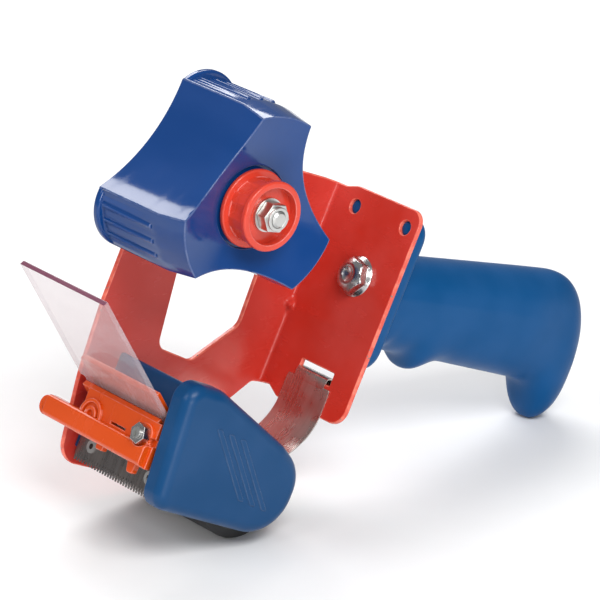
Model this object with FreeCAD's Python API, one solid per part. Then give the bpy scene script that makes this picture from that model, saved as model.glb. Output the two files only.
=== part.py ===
import FreeCAD, Part
import math
import os

# Hand-held packing tape dispenser, in millimetres.
# Every piece is first drawn upright: X runs from the cutter to the grip, Y from the cheek to the
# side plate, Z along the rear flange, with the reel's axis at the origin, mid tape.
# At the end the whole tool is leaned back until it stands on its roller and the heel of its grip,
# and the origin goes to the middle of the base of its bounding box.

os.makedirs("parts", exist_ok=True)
Vec = FreeCAD.Vector

# Driving dimensions
tape_width = 50.0        # widest tape the tool takes
core_bore = 76.2         # bore of the cardboard core the reel fills
side_room = 2.5          # room between the tape's edge and the plate or cheek
plate_t = 2.0            # pressed steel frame
flange_x = 77.6          # front face of the rear flange
flange_width = 48.5
flange_top, flange_base = 19.0, -66.0
reel_half = 24.0         # half the reel's length
reel_taper = 12.6        # length of the lead-in taper
reel_wall = 2.4
lip_height = 3.2         # how far the lip behind each lobe stands proud
lip_t = 3.2
lobe_half_deg = 18.0     # half the angle one lobe spans
lobe_turn = 98.8         # where the first lobe points, from +X towards +Z
waist = 23.0             # reel axis to the middle of a hollow side
journal_r = 5.0          # spindle where the reel turns
thread_r = 3.0           # spindle thread
run_fit = 0.06           # radial play of a turning fit
still_fit = 0.02         # radial play of a fixed fit
knob_r = 14.5
knob_length = 12.3
flute_count = 8
flute_r, flute_depth = 9.0, 0.8
knob_travel = 1.5        # room the knob has to move towards the reel
roller_x, roller_z = 40.0, -98.0
roller_r = 18.0
axle_r = 4.0
cheek_depth = 9.5        # thickness of the cheek
cheek_round = 4.6        # rounding of the cheek's outer edge
rib_x, rib_z = 4.5, -76.5       # top corner of the first slanted rib
rib_pitch, rib_width = 6.2, 3.2
rib_drop = 23.0          # how far each slanted rib runs down and back
rib_height = 0.35
blade_x = 1.5            # front face of the blade
blade_t = 0.8
blade_tip = -110.3
tooth_count = 32
tooth_depth = 3.3
hinge_x, hinge_z = -2.2, -91.0   # pivot of the tape guide
hinge_r = 1.5
bar_top, bar_base = -91.2, -99.5
flap_length = 62.5
flap_slope = 34.8        # degrees the flap falls towards the cutter
flap_t = 2.0
leaf_width = 24.4
leaf_t = 0.5
grip_end = 203.5         # X of the butt of the grip
grip_width = 30.0
grip_top_slope = 0.18
grip_wall = 4.0          # wall of the grip at its sides
grip_base_t = 7.4        # plate that the grip stands on
peg_r = 2.6              # pegs that locate the grip
peg_z = 11.5
peg_fit = 0.1            # radial play of the pegs
bolt_r = 4.0
bolt_y, bolt_z = -0.3, -12.3
nut_flats = 13.0         # captive nut, across flats
nut_depth = 12.0         # how deep in the grip it lies
nut_t = 6.5
screw_r = 2.0            # screws of the cheek's foot
head_r = 3.8
head_t = 1.8
rivet_r = 1.6            # rivets of the blade
set_screw_r = 2.0        # stop screw of the guide
bridge_x = 7.0           # face of the bridge that the stop screw meets

# Sizes that follow from those above
inner_y = tape_width / 2 + side_room
outer_y = inner_y + plate_t
flange_back = flange_x + plate_t
flange_mid = inner_y - flange_width / 2
seat_r = core_bore / 2 - 0.8
dish_depth = 7.3
reel_near = -reel_half
dish_y = reel_near + dish_depth
pocket_floor = dish_y + knob_travel - 0.2
knob_back = dish_y - 0.2
spring_far = -5.0
flap_dir = (math.cos(math.radians(flap_slope)), -math.sin(math.radians(flap_slope)))
flap_nor = (-flap_dir[1], flap_dir[0])
flap_foot = (-3.1, -83.1)
half_guide = tape_width / 2


def on_plane(axis, u, v, w):
    """Point with in-plane coordinates u, v and w along the named axis."""
    return {"x": Vec(w, u, v), "y": Vec(u, w, v), "z": Vec(u, v, w)}[axis]


def rounded_wire(axis, corners, w):
    """Closed outline through (u, v, radius) corners, each rounded by its own radius."""
    ends = []
    for i, (u, v, r) in enumerate(corners):
        here = on_plane(axis, u, v, w)
        before = on_plane(axis, *corners[i - 1][:2], w) - here
        after = on_plane(axis, *corners[(i + 1) % len(corners)][:2], w) - here
        half = before.getAngle(after) / 2
        before.normalize()
        after.normalize()
        middle = before + after
        if r <= 0 or middle.Length < 1e-6:
            ends.append((here, here, here))
            continue
        middle.normalize()
        reach = r / math.tan(half)
        centre = here + middle * (r / math.sin(half))
        ends.append((here + before * reach, centre - middle * r, here + after * reach))
    edges = []
    for i, (first, mid, last) in enumerate(ends):
        if (last - first).Length > 1e-6:
            edges.append(Part.Arc(first, mid, last).toShape())
        start = ends[(i + 1) % len(ends)][0]
        if (start - last).Length > 1e-6:
            edges.append(Part.makeLine(last, start))
    return Part.Wire(edges)


def prism(axis, corners, low, high):
    """Solid with a rounded outline, running along an axis from low to high."""
    face = Part.Face(rounded_wire(axis, corners, low))
    return face.extrude(on_plane(axis, 0, 0, high - low))


def block(x0, x1, y0, y1, z0, z1):
    """Plain box between two corners."""
    return Part.makeBox(x1 - x0, y1 - y0, z1 - z0, Vec(x0, y0, z0))


def rod(axis, u, v, r, low, high):
    """Round bar along an axis."""
    return Part.makeCylinder(r, high - low, on_plane(axis, u, v, low), on_plane(axis, 0, 0, 1))


def ring(axis, u, v, r_out, r_in, low, high):
    """Round bar with a bore."""
    return rod(axis, u, v, r_out, low, high).cut(rod(axis, u, v, r_in, low - 1, high + 1))


def hexagon(axis, u, v, flats, low, high):
    """Six-sided bar, given its size across flats."""
    r = flats / math.sqrt(3)
    corners = []
    for k in range(6):
        a = math.radians(60 * k + 12)
        corners.append((u + r * math.cos(a), v + r * math.sin(a), 0))
    return prism(axis, corners, low, high)


def cone_y(r_low, r_high, low, high):
    """Cone about the reel's axis."""
    return Part.makeCone(r_low, r_high, high - low, Vec(0, low, 0), Vec(0, 1, 0))


def coil_y(x, z, r, wire_r, low, high, turns):
    """Coil spring about a line along Y."""
    height = high - low - 2 * wire_r
    path = Part.Wire(Part.makeHelix(height / turns, height, r))
    loop = Part.makeCircle(wire_r, Vec(r, 0, 0), Vec(0, 1, 0))
    coil = path.makePipeShell([Part.Wire(loop)], True, True)
    coil.rotate(Vec(0, 0, 0), Vec(1, 0, 0), -90)
    coil.translate(Vec(x, low + wire_r, z))
    return coil


def ribbon(points, t):
    """Corners of a thin strip that follows a line of (u, v) points, half its thickness each side."""
    left, right = [], []
    for i, (u, v) in enumerate(points):
        a = points[max(i - 1, 0)]
        b = points[min(i + 1, len(points) - 1)]
        length = math.hypot(b[0] - a[0], b[1] - a[1])
        nu, nv = -(b[1] - a[1]) / length, (b[0] - a[0]) / length
        left.append((u + nu * t / 2, v + nv * t / 2, 0))
        right.append((u - nu * t / 2, v - nv * t / 2, 0))
    return left + right[::-1]


def make_frame():
    """Pressed steel frame: side plate with a window, and the flange that carries the grip."""
    side = prism("y", [
        (flange_x - 4, 17.3, 0), (-10.5, 13.0, 17), (-10.0, -52.0, 20), (-7.8, -80.0, 60),
        (-1.8, -113.0, 9), (54.5, -111.3, 15), (54.5, -88.0, 12), (flange_x - 4, -66.5, 3),
    ], inner_y, outer_y)
    window = prism("y", [
        (16.6, -22.0, 5), (23.2, -62.6, 4.5), (40.8, -63.8, 4), (57.0, -45.6, 6), (56.0, -22.0, 5),
    ], inner_y - 1, outer_y + 1)
    bend = prism("z", [
        (flange_x - 6, outer_y, 0), (flange_back, outer_y, 3.4), (flange_back, outer_y - 8, 0),
        (flange_x, outer_y - 8, 0), (flange_x, inner_y, 1.4), (flange_x - 6, inner_y, 0),
    ], -63.0, 17.3)
    low_y = inner_y - flange_width
    flange = prism("x", [
        (outer_y - 7, -63.0, 0), (outer_y - 13, flange_base, 3), (low_y, flange_base, 6.5),
        (low_y, flange_top, 5.5), (outer_y - 14, flange_top, 8), (outer_y - 7, 17.3, 0),
    ], flange_x, flange_back)
    gusset = prism("z", [
        (flange_x - 3.4, inner_y + 0.5, 0), (flange_x + 0.5, inner_y - 3.4, 0),
        (flange_x + 0.5, inner_y + 0.5, 0),
    ], -34.0, -30.5)
    body = side.cut(window).fuse([bend, flange, gusset])
    holes = [
        rod("y", 0, 0, journal_r + still_fit, inner_y - 1, outer_y + 1),
        rod("y", roller_x, roller_z, axle_r + still_fit, inner_y - 1, outer_y + 1),
        rod("x", bolt_y, bolt_z, bolt_r + 0.3, flange_x - 1, flange_back + 1),
        block(flange_x - 1, flange_back + 1, slot_y()[0], slot_y()[1], -53.7, -48.7),
    ]
    for y in peg_ys():
        holes.append(rod("x", y, peg_z, peg_r + peg_fit, flange_x - 1, flange_back + 1))
    for z in foot_screw_zs():
        holes.append(rod("y", foot_x(), z, screw_r + still_fit, inner_y - 1, outer_y + 1))
        holes.append(screw_head(z, still_fit))
    return body.cut(holes).removeSplitter()


def slot_y():
    """Ends of the slot the leaf spring hooks into."""
    middle = flange_mid - 2.0
    return middle - leaf_width * 0.38, middle + leaf_width * 0.38


def peg_ys():
    """The two pegs that locate the grip on the flange."""
    return flange_mid - 3.25 - 14.4, flange_mid - 3.25 + 14.4


def foot_x():
    """X of the screws that hold the cheek's foot."""
    return 15.0


def foot_screw_zs():
    """Heights of those two screws."""
    return -75.0, -84.0


def screw_head(z, grow):
    """Countersunk head of one foot screw, flush with the plate's outer face."""
    base = Vec(foot_x(), outer_y - head_t, z)
    return Part.makeCone(screw_r + grow, head_r + grow, head_t, base, Vec(0, 1, 0))


def make_spindle():
    """Steel spindle: foot riveted flush in the plate, collar, journal and thread."""
    end_y = knob_back - knob_length - 3.4
    foot = rod("y", 0, 0, journal_r, spring_far + 0.2, outer_y)
    collar = rod("y", 0, 0, 9.0, inner_y - 1.5, inner_y)
    thread = rod("y", 0, 0, thread_r, end_y, spring_far + 1)
    tip = cone_y(thread_r - 0.7, thread_r, end_y - 0.7, end_y)
    return foot.fuse([collar, thread, tip]).removeSplitter()


def make_friction_washer():
    """Fibre washer the reel rubs on."""
    return ring("y", 0, 0, 12.0, journal_r + still_fit, reel_half + 0.25, inner_y - 1.5)


def lobed_wire(radius, half_deg, mid_r, y):
    """Three-lobed outline at one Y: an arc for each lobe, a shallow hollow arc between lobes."""
    def at(r, deg):
        a = math.radians(deg)
        return Vec(r * math.cos(a), y, r * math.sin(a))
    edges = []
    for k in range(3):
        a = lobe_turn + 120 * k
        edges.append(Part.Arc(at(radius, a - half_deg), at(radius, a), at(radius, a + half_deg)).toShape())
        edges.append(Part.Arc(at(radius, a + half_deg), at(mid_r, a + 60),
                              at(radius, a + 120 - half_deg)).toShape())
    return Part.Wire(edges)


def make_reel():
    """Three-lobed reel that fills the tape's core, hollow at the back, dished at the front."""
    taper_y = reel_near + reel_taper
    shell = Part.makeLoft([
        lobed_wire(seat_r, lobe_half_deg, waist, reel_half),
        lobed_wire(seat_r, lobe_half_deg, waist, taper_y),
        lobed_wire(seat_r - 2.2, lobe_half_deg + 1.2, waist - 0.6, reel_near),
    ], True, True)
    inside_r, inside_half = seat_r - reel_wall, lobe_half_deg - math.degrees(reel_wall / seat_r)
    hollow = Part.makeLoft([
        lobed_wire(inside_r, inside_half, waist - reel_wall, reel_half + 1),
        lobed_wire(inside_r, inside_half, waist - reel_wall, taper_y),
        lobed_wire(inside_r - 2.2, inside_half, waist - reel_wall - 0.6, reel_near + reel_wall),
    ], True, True)
    rim_r = seat_r - 2.0
    floor_r = knob_r + 0.8
    dish = cone_y(rim_r, floor_r, reel_near, dish_y)
    dish_back = cone_y(rim_r, floor_r, reel_near + reel_wall, dish_y + reel_wall + 0.4)
    hollow = hollow.cut([dish_back, rod("y", 0, 0, floor_r + 1.5, reel_near, pocket_floor + reel_wall)])
    hollow = hollow.cut(rod("y", 0, 0, 11.8, reel_near, reel_half + 2))
    for k in range(3):
        web = block(11.0, seat_r - 1, -14.0, reel_half - 2.5, -1.0, 1.0)
        web.rotate(Vec(0, 0, 0), Vec(0, 1, 0), -(lobe_turn + 120 * k))
        hollow = hollow.cut(web)
    half_chord = seat_r * math.sin(math.radians(lobe_half_deg))
    rise = lip_height + seat_r * (1 - math.cos(math.radians(lobe_half_deg)))
    lip_r = (half_chord ** 2 + rise ** 2) / (2 * rise)
    wide = 2 * seat_r * math.tan(math.radians(lobe_half_deg))
    lips = []
    for k in range(3):
        disc = rod("y", seat_r + lip_height - lip_r, 0, lip_r, reel_half - lip_t, reel_half)
        sector = prism("y", [(0, 0, 0), (2 * seat_r, wide, 0), (2 * seat_r, -wide, 0)],
                       reel_half - lip_t, reel_half)
        lip = disc.makeFillet(lip_t * 0.35, disc.Edges).common(sector)
        lip.rotate(Vec(0, 0, 0), Vec(0, 1, 0), -(lobe_turn + 120 * k))
        lips.append(lip)
    boss_end = rod("y", 0, 0, 11.8, pocket_floor, reel_half + 0.2)
    body = shell.fuse(lips + [boss_end]).cut(hollow)
    ribs = []
    for k in range(3):
        for step in (-9.0, 0.0, 9.0):
            a = math.radians(lobe_turn + 120 * k + step)
            x, z = (seat_r - 0.4) * math.cos(a), (seat_r - 0.4) * math.sin(a)
            ribs.append(rod("y", x, z, 1.2, taper_y + 4, reel_half - 1.9))
    body = body.fuse(ribs)
    cuts = [
        dish, rod("y", 0, 0, floor_r, dish_y - 1, pocket_floor),
        rod("y", 0, 0, 9.5, dish_y - 2, spring_far),
        rod("y", 0, 0, journal_r + run_fit, spring_far - 1, reel_half + 2),
    ]
    return body.cut(cuts).removeSplitter()


def make_pressure_washer():
    """Steel washer that presses on the reel."""
    return ring("y", 0, 0, 9.1, thread_r + run_fit, spring_far - 1.5, spring_far - 0.05)


def thrust_back():
    """Y of the face where the knob meets its thrust washer."""
    return knob_back + 1.1


def make_brake_spring():
    """Coil spring between the two washers."""
    return coil_y(0, 0, 6.6, 0.6, thrust_back() + 1.3, spring_far - 1.52, 3)


def make_thrust_washer():
    """Washer between the knob and the spring."""
    return ring("y", 0, 0, 8.6, thread_r + run_fit, thrust_back(), thrust_back() + 1.2)


def make_knob():
    """Brake knob: flange, fluted barrel, rim, and a recess for the nut."""
    front = knob_back - knob_length
    flange = rod("y", 0, 0, knob_r, knob_back - 2.0, knob_back)
    flange = flange.makeFillet(0.7, flange.Edges)
    barrel = rod("y", 0, 0, knob_r - 2.4, front + 1.0, knob_back - 1)
    flutes = []
    for k in range(flute_count):
        a = 2 * math.pi * (k + 0.3) / flute_count
        r = knob_r - 2.4 + flute_r - flute_depth
        flutes.append(rod("y", r * math.cos(a), r * math.sin(a), flute_r, front + 2.6, knob_back - 2.4))
    rim = rod("y", 0, 0, knob_r - 1.6, front, front + 2.6)
    rim = rim.makeFillet(0.8, rim.Edges)
    neck = rod("y", 0, 0, 8.6, knob_back - 1, thrust_back())
    body = barrel.cut(flutes).fuse([flange, rim, neck])
    recess = rod("y", 0, 0, knob_r - 4.0, front - 1, front + 3.6)
    return body.cut([recess, rod("y", 0, 0, thread_r + run_fit, front - 1, knob_back + 4)]).removeSplitter()


def make_knob_washer():
    """Washer under the lock nut."""
    floor = knob_back - knob_length + 3.6
    return ring("y", 0, 0, 6.2, thread_r + run_fit, floor - 1.2, floor)


def make_lock_nut():
    """Lock nut that turns with the knob."""
    top = knob_back - knob_length + 2.4
    nut = hexagon("y", 0, 0, 10.0, top - 4.6, top)
    crown = rod("y", 0, 0, 4.4, top - 5.8, top - 4.4)
    return nut.fuse(crown).cut(rod("y", 0, 0, thread_r + run_fit, top - 7, top + 1)).removeSplitter()


def make_roller_axle():
    """Steel axle, flush in the plate and held in the cheek's boss."""
    return rod("y", roller_x, roller_z, axle_r, -(inner_y + 5.0), outer_y)


def roller_half():
    """Half the roller's length."""
    return tape_width / 2 - 1.0


def make_roller_core():
    """Plastic core of the roller, pocketed at both ends."""
    h = roller_half()
    core = rod("y", roller_x, roller_z, roller_r - 3.5, -h, h)
    pocket_out, pocket_in = roller_r - 6.0, axle_r + 3.0
    cuts = [ring("y", roller_x, roller_z, pocket_out, pocket_in, 2, h + 1),
            ring("y", roller_x, roller_z, pocket_out, pocket_in, -h - 1, -2),
            rod("y", roller_x, roller_z, axle_r + run_fit, -h - 1, h + 1)]
    return core.cut(cuts)


def make_roller_sleeve():
    """Rubber sleeve on the roller's core."""
    sleeve = ring("y", roller_x, roller_z, roller_r, roller_r - 3.5 + still_fit,
                  -roller_half(), roller_half())
    outer = [e for e in sleeve.Edges
             if hasattr(e.Curve, "Radius") and abs(e.Curve.Radius - roller_r) < 0.01]
    return sleeve.makeFillet(0.8, outer)


def make_roller_spacers():
    """Two spacers that keep the roller off the plate and the cheek."""
    far = ring("y", roller_x, roller_z, axle_r + 2.5, axle_r + still_fit,
               roller_half() + 0.1, inner_y)
    near = ring("y", roller_x, roller_z, axle_r + 2.5, axle_r + still_fit,
                -inner_y, -roller_half() - 0.1)
    return Part.makeCompound([far, near])


def cheek_outline(inset):
    """Outline of the cheek, drawn in by an inset."""
    i = inset
    return [
        (-13.0 + i, -63.6 - i, 7.0 - i), (4.0, -63.6 - i, 14.0 - i), (42.0, -76.4 - i, 16.0),
        (54.2 - i, -83.0 - i, 14.0 - i), (54.2 - i, -110.6 + i, 17.0 - i),
        (-8.0 + i, -110.6 + i, 6.4 - i),
    ]


def make_cover():
    """Moulded cheek with the bridge that carries the cutter and the tape guide."""
    near, far = -(inner_y + cheek_depth), -inner_y
    cheek = prism("y", cheek_outline(0), near, far)
    rim = [e for e in cheek.Edges if abs(e.BoundBox.YMax - near) < 1e-6]
    cheek = cheek.makeFillet(cheek_round, rim)
    cheek = cheek.cut(prism("y", cheek_outline(3.0), near + 3.0, far + 1))
    boss = rod("y", roller_x, roller_z, axle_r + 4.0, near + 2.0, far)
    ribs = []
    for k in range(3):
        x, z = rib_x + rib_pitch * k, rib_z - 0.1 * rib_pitch * k
        ribs.append(prism("y", [
            (x, z, 0.6), (x + rib_width, z, 0.6), (x + rib_width + rib_drop, z - rib_drop, 0.6),
            (x + rib_drop, z - rib_drop, 0.6),
        ], near - rib_height, near + 1.5))
    face = blade_x + blade_t
    bridge = prism("y", [
        (face, -106.0, 0.6), (face, -93.4, 0.6), (bridge_x, -90.8, 0.8), (bridge_x, -68.0, 1.2),
        (bridge_x + 3.2, -68.0, 1.2), (bridge_x + 3.2, -92.0, 1.0),
        (face + 3.5, -94.8, 0.8), (face + 3.5, -106.0, 0.6),
    ], -inner_y - 1.5, inner_y)
    foot = block(9.0, 21.0, inner_y - 8.0, inner_y, -89.0, -70.0)
    parts = [boss, bridge, foot] + ribs
    for side in (-1, 1):
        mid = side * 13.5
        parts.append(prism("y", [
            (hinge_x, hinge_z - 3.3, 0), (hinge_x, hinge_z + 3.3, 0),
            (8.0, hinge_z + 3.3, 0), (8.0, hinge_z - 3.3, 0),
        ], mid - 1.5, mid + 1.5))
        parts.append(rod("y", hinge_x, hinge_z, 3.3, mid - 1.5, mid + 1.5))
    cuts = [rod("y", roller_x, roller_z, axle_r + still_fit, near + 4.0, far + 1),
            rod("y", hinge_x, hinge_z, hinge_r + still_fit, -20, 20)]
    for y in rivet_ys():
        cuts.append(rod("x", y, rivet_z(), rivet_r + still_fit, face - 1, face + 6))
    for z in foot_screw_zs():
        cuts.append(rod("y", foot_x(), z, screw_r + still_fit, inner_y - 7.0, inner_y + 1))
    return cheek.fuse(parts).cut(cuts).removeSplitter()


def make_cover_screws():
    """Two countersunk screws from the plate into the cover's foot."""
    screws = []
    for z in foot_screw_zs():
        shank = rod("y", foot_x(), z, screw_r, inner_y - 6.5, outer_y - 1)
        screw = shank.fuse(screw_head(z, 0)).cut(rod("y", foot_x(), z, 1.2, outer_y - 1.2, outer_y + 1))
        screws.append(screw.removeSplitter())
    return Part.makeCompound(screws)


def rivet_ys():
    """Where the blade is riveted."""
    return -tape_width / 2 + 7.7, tape_width / 2 - 7.7


def rivet_z():
    """Height of the blade's rivets."""
    return blade_tip + 7.2


def make_blade():
    """Toothed steel strip across the bridge."""
    half = tape_width / 2
    pitch = tape_width / tooth_count
    corners = [(half, blade_tip + 13.3, 1.0), (-half, blade_tip + 13.3, 1.0)]
    for k in range(tooth_count):
        y = -half + k * pitch
        corners.append((y, blade_tip + tooth_depth, 0))
        corners.append((y + pitch / 2, blade_tip, 0))
    corners.append((half, blade_tip + tooth_depth, 0))
    blade = prism("x", corners, blade_x, blade_x + blade_t)
    return blade.cut([rod("x", y, rivet_z(), rivet_r + still_fit, blade_x - 1, blade_x + 2)
                      for y in rivet_ys()])


def make_blade_rivets():
    """Two tubular rivets."""
    back = blade_x + blade_t + 3.5
    rivets = []
    for y in rivet_ys():
        body = rod("x", y, rivet_z(), rivet_r, blade_x, back)
        head = rod("x", y, rivet_z(), rivet_r + 0.9, blade_x - 0.4, blade_x)
        tail = rod("x", y, rivet_z(), rivet_r + 0.7, back, back + 0.4)
        rivets.append(body.fuse([head, tail]).cut(rod("x", y, rivet_z(), 1.05, blade_x - 1, back + 1)))
    return Part.makeCompound(rivets)


def along_flap(s, off):
    """Point s mm below the flap's top edge and off mm above its middle plane, as (x, z)."""
    x0 = flap_foot[0] - flap_length * flap_dir[0]
    z0 = flap_foot[1] - flap_length * flap_dir[1]
    return x0 + s * flap_dir[0] + off * flap_nor[0], z0 + s * flap_dir[1] + off * flap_nor[1]


def flap_box(s0, s1, low, high, y0, y1, r):
    """Slab parallel to the flap."""
    corners = [along_flap(s0, low), along_flap(s1, low), along_flap(s1, high), along_flap(s0, high)]
    return prism("y", [(x, z, r) for x, z in corners], y0, y1)


def make_guide():
    """Orange tape guide: seat for the flap, front plate, thumb bar and two hinge ears."""
    h = half_guide
    top = flap_t / 2
    seat = flap_box(flap_length - 15, flap_length + 2.4, top, top + 2.4, -h + 2.5, h - 2.5, 0.6)
    stop = flap_box(flap_length, flap_length + 2.4, -top - 2.2, top + 1, -h + 2.5, h - 2.5, 0.3)
    jaw = flap_box(flap_length - 5.5, flap_length + 2.4, -top - 2.2, -top, -h + 2.5, h - 2.5, 0.5)
    plate = block(-9.4, -6.9, -h, h - 7.0, bar_base, -82.4)
    bar = prism("y", [(-12.4, bar_base + 0.6, 1.6), (-12.4, bar_top, 1.6), (-7.7, bar_top, 0.5),
                      (-7.7, bar_base, 0.5)], -h + 1.0, inner_y + 7.0)
    tab = rod("x", inner_y + 7.0, (bar_top + bar_base) / 2, (bar_top - bar_base) / 2 - 0.5, -11.6, -8.2)
    lug = prism("x", [(-h + 5.6, bar_base - 3.6, 1.0), (-h + 8.8, bar_base - 3.6, 1.0),
                      (-h + 10.4, bar_base + 2, 0.5), (-h + 5.0, bar_base + 2, 0.5)], -9.4, -6.9)
    tongue = prism("x", [(-0.5, bar_base - 1.6, 0.7), (3.5, bar_base - 1.6, 0.7),
                         (3.5, bar_base + 2, 0.4), (-0.5, bar_base + 2, 0.4)], -9.4, -6.9)
    parts = [stop, jaw, plate, bar, tab, lug, tongue]
    for side in (-1, 1):
        mid = side * 9.5
        parts.append(prism("y", [(-8.0, hinge_z - 3.0, 0.4), (hinge_x, hinge_z - 3.2, 0.4),
                                 (hinge_x, hinge_z + 3.2, 0.4), (-8.0, hinge_z + 6.0, 0.4)],
                           mid - 1.5, mid + 1.5))
        parts.append(rod("y", hinge_x, hinge_z, 3.2, mid - 1.5, mid + 1.5))
    for r in (6.0, 3.2):
        arch = ring("x", h - 13.3, bar_top, r, r - 1.4, -10.6, -9.0)
        parts.append(arch.common(block(-12, -8, -h, h, bar_top - 1, bar_top + 8)))
    parts.append(rod("x", nut_y(), nut_z(), 4.4, -10.6, -9.0))
    cuts = [rod("y", hinge_x, hinge_z, hinge_r + run_fit, -20, 20),
            block(-12, -6, -8.0, 0.7, -90.6, -89.8),
            rod("x", nut_y(), nut_z(), set_screw_r + still_fit, -12, 3),
            rod("x", nut_y(), nut_z(), 4.5, -14, -10.6),
            rod("x", nut_y() - 4.6, nut_z() - 1.4, 1.5, -12, -8)]
    return seat.fuse(parts).cut(cuts).removeSplitter()


def nut_y():
    """Y of the guide's stop screw."""
    return -half_guide + 5.6


def nut_z():
    """Height of the guide's stop screw."""
    return bar_top + 2.9


def make_guide_pivot():
    """Steel pin the tape guide turns on."""
    return rod("y", hinge_x, hinge_z, hinge_r, -17.0, 17.0)


def make_guide_spring():
    """Torsion spring on the pin, one leg on the bridge and one on the guide."""
    coil = coil_y(hinge_x, hinge_z, 2.3, 0.35, -6.0, 6.0, 9.5)
    back = rod("x", -5.65, hinge_z, 0.3, hinge_x + 1.95, 6.4)
    front = rod("x", 5.65, hinge_z, 0.3, -6.85, hinge_x - 1.95)
    return coil.fuse([back, front])


def make_stop_screw():
    """Set screw whose tip rests on the bridge and sets where the guide stops."""
    end = bridge_x - 0.7
    shaft = rod("x", nut_y(), nut_z(), set_screw_r, -14.6, end)
    tip = Part.makeCone(set_screw_r, set_screw_r - 0.8, 0.65, Vec(end, nut_y(), nut_z()), Vec(1, 0, 0))
    slot = block(-15, -13.9, nut_y() - 0.35, nut_y() + 0.35, nut_z() - 3, nut_z() + 3)
    return shaft.fuse(tip).cut(slot).removeSplitter()


def make_stop_nut():
    """Lock nut on the set screw."""
    nut = hexagon("x", nut_y(), nut_z(), 7.0, -13.8, -10.6)
    return nut.cut(rod("x", nut_y(), nut_z(), set_screw_r + still_fit, -15, -9))


def make_flap():
    """Clear plastic flap."""
    return flap_box(0, flap_length - 0.05, -flap_t / 2 + still_fit, flap_t / 2 - still_fit,
                    -half_guide, half_guide, 0.3).cut(
        [block(-12, 5, half_guide - 2.4, half_guide + 1, -90, flap_foot[1] + 3.4),
         block(-12, 5, -half_guide - 1, -half_guide + 2.4, -90, flap_foot[1] + 3.4)])


def make_leaf():
    """Spring steel leaf hooked in the flange's slot, bearing towards the roller."""
    mid = sum(slot_y()) / 2 + 1.2
    face = flange_x - leaf_t / 2
    reach = roller_r + 0.5 + leaf_t / 2
    a = math.radians(20.0)
    touch = (roller_x + reach * math.cos(a), roller_z + reach * math.sin(a))
    away = (touch[0] + 3.6 * math.sin(a) + 5.2, touch[1] + 5.6)
    run = [(face, -55.2), (face, -66.0), (face - 0.5, -69.0), (face - 2.0, -73.0),
           (face - 4.4, -77.5), (face - 8.0, -82.2), away, touch]
    blade = prism("y", ribbon(run, leaf_t), mid - leaf_width / 2, mid + leaf_width / 2)
    hook = [(face, -56.0), (face, -52.4), (face + 0.6, -51.6), (flange_back + 1.2, -51.2),
            (flange_back + 1.8, -51.8), (flange_back + 1.8, -58.0)]
    tongue = prism("y", ribbon(hook, leaf_t), mid - leaf_width * 0.35 - 1.2, mid + leaf_width * 0.35 - 1.2)
    return blade.fuse(tongue).removeSplitter()


def ease(t):
    """Smooth step from 0 to 1."""
    t = min(max(t, 0.0), 1.0)
    return t * t * (3 - 2 * t)


def round_off(x, start, end, power):
    """Falls from 1 at start to 0 at end along a rounded corner."""
    t = min(max((x - start) / (end - start), 0.0), 1.0)
    return (1 - t ** power) ** (1 / power)


def grip_section(x, inset):
    """Outline of the grip at one X, drawn in by an inset."""
    end = grip_end
    top = -1.9 + grip_top_slope * (x - 87)
    base = -33.5 + 0.07 * (x - 133)
    base -= 5.4 * math.exp(-((x - 120.5) / 6.5) ** 2)
    base -= 14.5 * ease((x - (end - 22)) / 13.0)
    flare = 2.5 * math.exp(-max(x - flange_back, 0) / 5.0)
    straight = (-1.9 + grip_top_slope * (x - 87) - 33.5 + 0.07 * (x - 133)) / 2
    mid = straight + (-22.0 - straight) * ease((x - 160) / (end - 160))
    up = (top - mid + flare) * round_off(x, end - 28, end, 2.2) - inset
    down = (mid - base + flare) * round_off(x, end - 12, end, 3.0) - inset
    half_width = grip_width / 2 + flare - 1.6 * ease((x - (end - 40)) / 25)
    wide = half_width * round_off(x, end - 15, end, 2.4) - inset
    halves = []
    for sign, height in ((1, up), (-1, down)):
        points = []
        for k in range(13):
            a = math.pi * k / 12
            y = sign * math.copysign(abs(math.cos(a)) ** 0.86, math.cos(a)) * wide
            z = sign * math.sin(a) ** 0.86 * height if 0 < k < 12 else 0.0
            points.append(Vec(x, flange_mid + 0.2 + y, mid + z))
        curve = Part.BSplineCurve()
        curve.interpolate(Points=points, InitialTangent=Vec(0, 0, sign), FinalTangent=Vec(0, 0, -sign))
        halves.append(curve.toShape())
    return Part.Wire(halves)


def grip_solid(start, end, inset):
    """Grip lofted through its outlines, closer together towards the butt."""
    turn = end - 18.0
    stations = [start + (turn - start) * k / 18 for k in range(18)]
    stations += [turn + (end - turn) * math.sin(math.pi / 2 * k / 9) for k in range(9)]
    return Part.makeLoft([grip_section(x, inset) for x in stations], True, False)


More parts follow.
